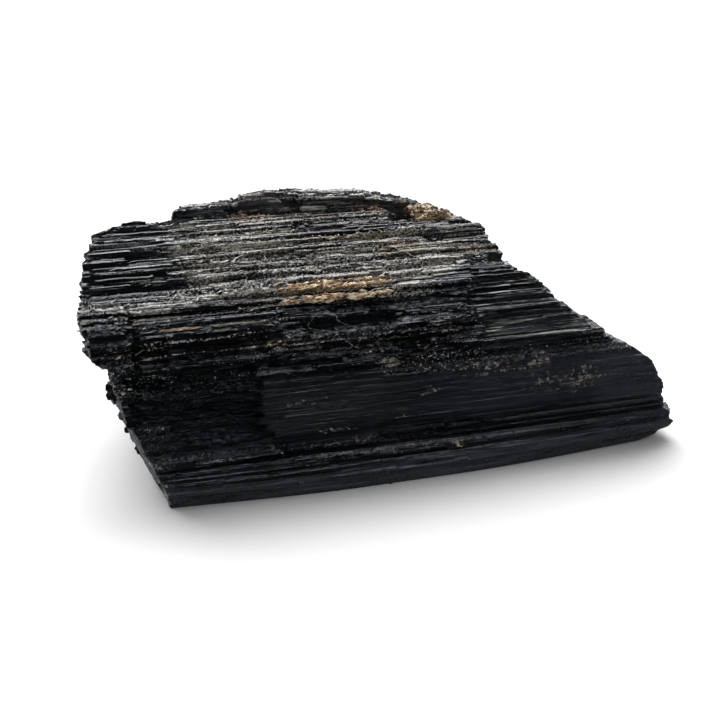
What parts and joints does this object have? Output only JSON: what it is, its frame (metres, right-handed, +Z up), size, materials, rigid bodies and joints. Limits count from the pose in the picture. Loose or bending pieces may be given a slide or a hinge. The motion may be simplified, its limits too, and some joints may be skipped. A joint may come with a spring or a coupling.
{
  "type": "black tourmaline specimen",
  "caption": "Natural block of black tourmaline: parallel striated prisms grown together, broken across at both ends and lying on its flattest side.",
  "frame": {"origin": "centre of the block's box, on the plane that it rests on", "axes": "+X along the prisms towards the pointed right-hand end, +Y from the steep front face to the back, +Z up"},
  "size_m": [0.1268, 0.08, 0.0493],
  "materials": {
    "schorl": "natural black tourmaline: vitreous on the prism faces, dull grey and rough where broken, stained tan in places"
  },
  "bodies": {
    "root": {"black_tourmaline": "schorl"}
  },
  "joints": []
}
